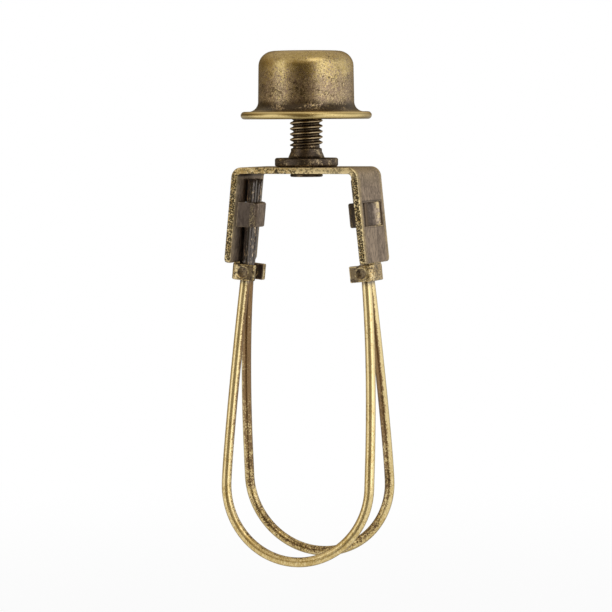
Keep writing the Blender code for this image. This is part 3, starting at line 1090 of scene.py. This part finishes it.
# The middle of the wire from end to end, and the point where it leaves the ears
def wireLine(s, side):
    legFrame = rightLegFrame()
    tabStart = bracketSizes["leg"] + bracketSizes["tabGap"]
    tabEnd = tabStart + bracketSizes["tabHeight"] + s["leave"]
    top = legFrame @ Vector((s["depth"], side * s["topSpread"], s["top"]))
    entry = legFrame @ Vector((s["depth"], side * s["tabSpread"], tabStart))
    leave = legFrame @ Vector((s["depth"], side * s["tabSpread"], tabEnd))
    wide = Vector((s["radius"], side * s["spread"], 0))
    bottom = Vector((0, side * s["bottomSpread"], -s["radius"]))
    alongLeg = (entry - top).normalized()
    out = legFrame.to_3x3() @ Vector((0, side * math.tan(math.radians(s["exitSplay"])), 1)).normalized()
    down = Vector((0, side * (s["bottomSpread"] - s["spread"]) / s["radius"], -1)).normalized()
    fold = (leave - entry).length / 3
    quarter = s["radius"] * 4 / 3 * math.tan(math.pi / 8)
    curves = [
        (top, top + alongLeg * fold, entry - alongLeg * fold, entry),
        (entry, entry + alongLeg * fold, leave - out * fold, leave),
        (leave, leave + out * s["exitPull"], wide - down * s["arcPull"], wide),
        (wide, wide + down * quarter, bottom + Vector((quarter, 0, 0)), bottom),
    ]
    half = []
    for curve, steps in zip(curves, s["steps"]):
        points = geometry.interpolate_bezier(*curve, steps + 1)
        half += points[1 if half else 0:]
    return half + [Vector((-p.x, p.y, p.z)) for p in reversed(half[:-1])], leave


# Rings of a wire's end, slightly rounded as on a sheared wire that has been tumbled
def roundedEnd(point, direction, outwards, s):
    rings = []
    for share in s["endRings"]:
        inset = s["endRound"] * (1 - math.sqrt(1 - share ** 2))
        middle = point - outwards * s["endRound"] * (1 - share)
        rings.append((middle, direction, layout["wire"] / 2 - inset))
    return rings


def buildLoop(name, node, side, s):
    line, leave = wireLine(s, side)
    directions = []
    for i in range(len(line)):
        before, after = line[max(i - 1, 0)], line[min(i + 1, len(line) - 1)]
        directions.append((after - before).normalized())
    first, last = directions[0], directions[-1]
    reaches = [layout["wire"] / 2] * len(line)
    between = list(zip(line, directions, reaches))[1:-1]
    stations = roundedEnd(line[0], first, -first, s)[::-1] + between + roundedEnd(line[-1], last, last, s)
    vertices, rows, outer = [], [], []
    across = Vector((0, 1, 0))
    for point, direction, reach in stations:
        across = (across - direction * across.dot(direction)).normalized()
        third = direction.cross(across)
        # outwards in the loop's own plane: away from the middle of the U
        away = Vector((point.x, 0, min(point.z, 0))).normalized()
        rows.append(list(range(len(vertices), len(vertices) + s["sides"])))
        for i in range(s["sides"]):
            angle = 2 * math.pi * i / s["sides"]
            normal = across * math.cos(angle) + third * math.sin(angle)
            vertices.append(point + normal * reach)
            outer.append(0.75 * normal.dot(away) + 0.75 * side * normal.y)
    rows = [[len(vertices)], *rows, [len(vertices) + 1]]
    vertices += [stations[0][0], stations[-1][0]]
    outer += [0.0, 0.0]
    mesh = bpy.data.meshes.new(name)
    mesh.from_pydata(vertices, [], facesFromRows(rows, False))
    mesh.attributes.new("outerSide", "FLOAT", "POINT").data.foreach_set("value", outer)
    outwardNormals(mesh)
    piece = finishMesh(name, mesh, wireBrass)
    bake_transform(piece)
    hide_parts(node)


for name, node, body, side in (
    ("frontWireLoop", "front_wire_loop", "front_loop", -1),
    ("backWireLoop", "back_wire_loop", "back_loop", 1),
):
    buildLoop(name, node, side, loopSizes)
print("wire loops made")


# Studio

white = (1.0, 1.0, 1.0)

studio = {
    "floorHeight": -0.045,
    "floorRadius": 3.0,
    "floorSides": 64,
    "floorColour": (0.93, 0.93, 0.93, 1.0),
    "floorGlow": 0.85,
    "floorInMetal": (0.76, 0.75, 0.73),
    "gapMiddle": -8,  # degrees from the camera's side towards the right
    "gapHalf": (30, 16),  # degrees where the gap fades out and where it is full
    "gapFrom": (0.06, 0.10),
    "rearTurn": (100, 130),
    "rearShare": 0.6,
    "gapColour": (0.12, 0.095, 0.055),
    "fade": (0.10, 0.35),
    # what the metal sees round it: degrees from the camera's side towards the right, and the level there
    "surround": (
        (-180, 0.14), (-145, 0.18), (-118, 0.18), (-90, 0.40), (-62, 1.02), (-40, 0.20), (-20, 0.10),
        (4, 0.10), (16, 0.28), (38, 1.55), (60, 1.06), (80, 0.84), (102, 1.00), (124, 0.66), (146, 0.48),
        (165, 0.20), (180, 0.14),
    ),
    "dimTint": (1.0, 0.77, 0.42),  # colour of the dim side
    "dimLevels": (0.25, 0.75),
    "aboveFrom": (0.15, 0.75),  # share of the direction that points up
    "above": 0.55,
    "fill": (0.75, 0.75, 0.75),
    "aim": (0, 0, 0.04),
}


# What shining metal sees of the studio in a direction
def makeSurround(s, sideways, onwards):
    outputs = {"Light": "NodeSocketColor", "Turn": "NodeSocketFloat"}
    tree, start, end = newEffect("studioSurround", {"Direction": None}, outputs)
    direction = start["Direction"]
    turn = dot(direction, sideways).math("ARCTAN2", dot(direction, -onwards))
    share = spread(turn, -math.pi, math.pi, kind="LINEAR")
    ramp = addNode(tree, "ShaderNodeValToRGB", {"Fac": share})
    bands = ramp.node.color_ramp
    bands.interpolation = "EASE"
    brightest = max(level for degrees, level in s["surround"])
    for i, (degrees, level) in enumerate(s["surround"]):
        along = degrees / 360 + 0.5
        stop = bands.elements[i] if i < 2 else bands.elements.new(along)
        stop.position = along
        stop.color = (*[level / brightest] * 3, 1.0)
    high = spread(parts(direction)["Z"], *s["aboveFrom"])
    level = ramp["Color"] * brightest * (1.0 - high) + high * s["above"]
    tinted = paint(s["dimTint"], white, spread(level, *s["dimLevels"]))
    seen = addNode(tree, "ShaderNodeVectorMath", {0: tinted, "Scale": level}, operation="SCALE")[0]
    feed(end["Light"], seen)
    feed(end["Turn"], turn)
    return tree


def emptyTree(data):
    data.use_nodes = True
    data.node_tree.nodes.clear()
    return data.node_tree


# Whether a ray comes straight from the camera, and whether it comes off shining metal
def rayKinds(tree):
    path = addNode(tree, "ShaderNodeLightPath")
    return path["Is Camera Ray"], larger(path["Is Glossy Ray"], path["Is Transmission Ray"])


def makeWorld(s, surround):
    world = bpy.data.worlds.new("paleStudio")
    bpy.context.scene.world = world
    tree = emptyTree(world)
    direction = addNode(tree, "ShaderNodeTexCoord")["Generated"]
    seen = useEffect(tree, surround, {"Direction": direction})["Light"]
    straight, mirrored = rayKinds(tree)
    colour = paint(paint(s["fill"], seen, mirrored), white, straight)
    background = addNode(tree, "ShaderNodeBackground", {"Color": colour, "Strength": 1.0})
    addNode(tree, "ShaderNodeOutputWorld", {"Surface": background[0]})


def makeFloor(s, surround):
    mesh = bpy.data.meshes.new("paleFloor")
    count, reach = s["floorSides"], s["floorRadius"]
    angles = [2 * math.pi * i / count for i in range(count)]
    corners = [(reach * math.cos(angle), reach * math.sin(angle), s["floorHeight"]) for angle in angles]
    mesh.from_pydata(corners, [], [tuple(range(count))])
    floor = addObject("paleFloor", mesh)
    material = bpy.data.materials.new("paleFloor")
    tree = emptyTree(material)
    straight, mirrored = rayKinds(tree)
    surface = addNode(tree, "ShaderNodeNewGeometry")
    away = addNode(tree, "ShaderNodeVectorMath", {0: surface["Position"]}, operation="LENGTH")["Value"]
    # metal sees a pale floor, a dark gap in it on the camera's side, and less light at the back
    turn = useEffect(tree, surround, {"Direction": surface["Position"]})["Turn"]
    half, rear = [[math.radians(angle) for angle in s[name]] for name in ("gapHalf", "rearTurn")]
    gap = spread(abs(turn - math.radians(s["gapMiddle"])), *half) * spread(away, *s["gapFrom"])
    gap = larger(gap, spread(abs(turn), *rear, 0.0, s["rearShare"]))
    inMetal = paint(s["floorInMetal"], s["gapColour"], gap)
    glow = addNode(tree, "ShaderNodeEmission", {"Color": paint(white, inMetal, mirrored)})
    # the far floor is as white as the backdrop, the near floor keeps the shadow
    shown = larger(mirrored, straight * spread(away, *s["fade"], s["floorGlow"], 1.0))
    matt = addNode(tree, "ShaderNodeBsdfDiffuse", {"Color": s["floorColour"]})
    top = addNode(tree, "ShaderNodeMixShader", {0: shown, 1: matt[0], 2: glow[0]})
    # seen from below, the floor lets the view through
    clear = addNode(tree, "ShaderNodeBsdfTransparent")
    mix = addNode(tree, "ShaderNodeMixShader", {0: surface["Backfacing"], 1: top[0], 2: clear[0]})
    addNode(tree, "ShaderNodeOutputMaterial", {"Surface": mix[0]})
    mesh.materials.append(material)


# Soft boxes: azimuth and elevation as seen from the piece, distance, size and brightness
softBoxes = {
    "leftSoftBox": {"azimuth": -42, "elevation": 12, "distance": 0.75, "size": (0.45, 0.9), "level": 0.20},
    "rightSoftBox": {"azimuth": 80, "elevation": 14, "distance": 0.75, "size": (0.45, 0.9), "level": 0.22},
    "overheadSoftBox": {"azimuth": 48, "elevation": 46, "distance": 0.75, "size": (0.4, 0.30), "level": 1.1},
}


def makeSoftBox(name, s, aim):
    data = bpy.data.lights.new(name, "AREA")
    data.shape = "RECTANGLE"
    data.size, data.size_y = s["size"]
    data.energy = s["level"] * math.pi * s["size"][0] * s["size"][1]
    box = addObject(name, data)
    turn, rise = math.radians(s["azimuth"]), math.radians(s["elevation"])
    away = Vector((math.sin(turn) * math.cos(rise), -math.cos(turn) * math.cos(rise), math.sin(rise)))
    box.location = aim + away * s["distance"]
    box.rotation_euler = away.to_track_quat("Z", "Y").to_euler()


cameraSizes = {
    "distance": 0.500,
    "azimuth": 20.24,  # degrees, as the pitch and roll
    "height": 0.0664,
    "pitch": -3.875,
    "roll": -0.31,
    "focalPixels": 2725.8,
    "framePixels": 612,
    "sidewaysPixels": 1.26,
    "sensor": 36.0,
    "clip": (0.01, 20.0),
}


# The camera, and which way is right and forward for it
def makeCamera(s):
    data = bpy.data.cameras.new("studioCamera")
    data.sensor_width = s["sensor"]
    data.lens = s["sensor"] * s["focalPixels"] / s["framePixels"]
    data.clip_start, data.clip_end = s["clip"]
    camera = addObject("studioCamera", data)
    stand = math.radians(s["azimuth"])
    look = stand + math.atan(s["sidewaysPixels"] / s["focalPixels"])
    pitch, roll = math.radians(s["pitch"]), math.radians(s["roll"])
    forward = Vector((-math.sin(look) * math.cos(pitch), math.cos(look) * math.cos(pitch), math.sin(pitch)))
    right = forward.cross(Vector((0, 0, 1))).normalized()
    up = right.cross(forward)
    rolledRight = right * math.cos(roll) + up * math.sin(roll)
    rolledUp = up * math.cos(roll) - right * math.sin(roll)
    matrix = Matrix((rolledRight, rolledUp, -forward)).transposed().to_4x4()
    away = s["distance"]
    matrix.translation = Vector((math.sin(stand) * away, -math.cos(stand) * away, s["height"]))
    camera.matrix_world = matrix
    bpy.context.scene.camera = camera
    return right, forward


cameraRight, cameraForward = makeCamera(cameraSizes)
surround = makeSurround(studio, cameraRight, cameraForward)
makeWorld(studio, surround)
makeFloor(studio, surround)
for boxName, boxSizes in softBoxes.items():
    makeSoftBox(boxName, boxSizes, Vector(studio["aim"]))
bpy.context.scene.view_settings.view_transform = "Standard"
print("studio made")
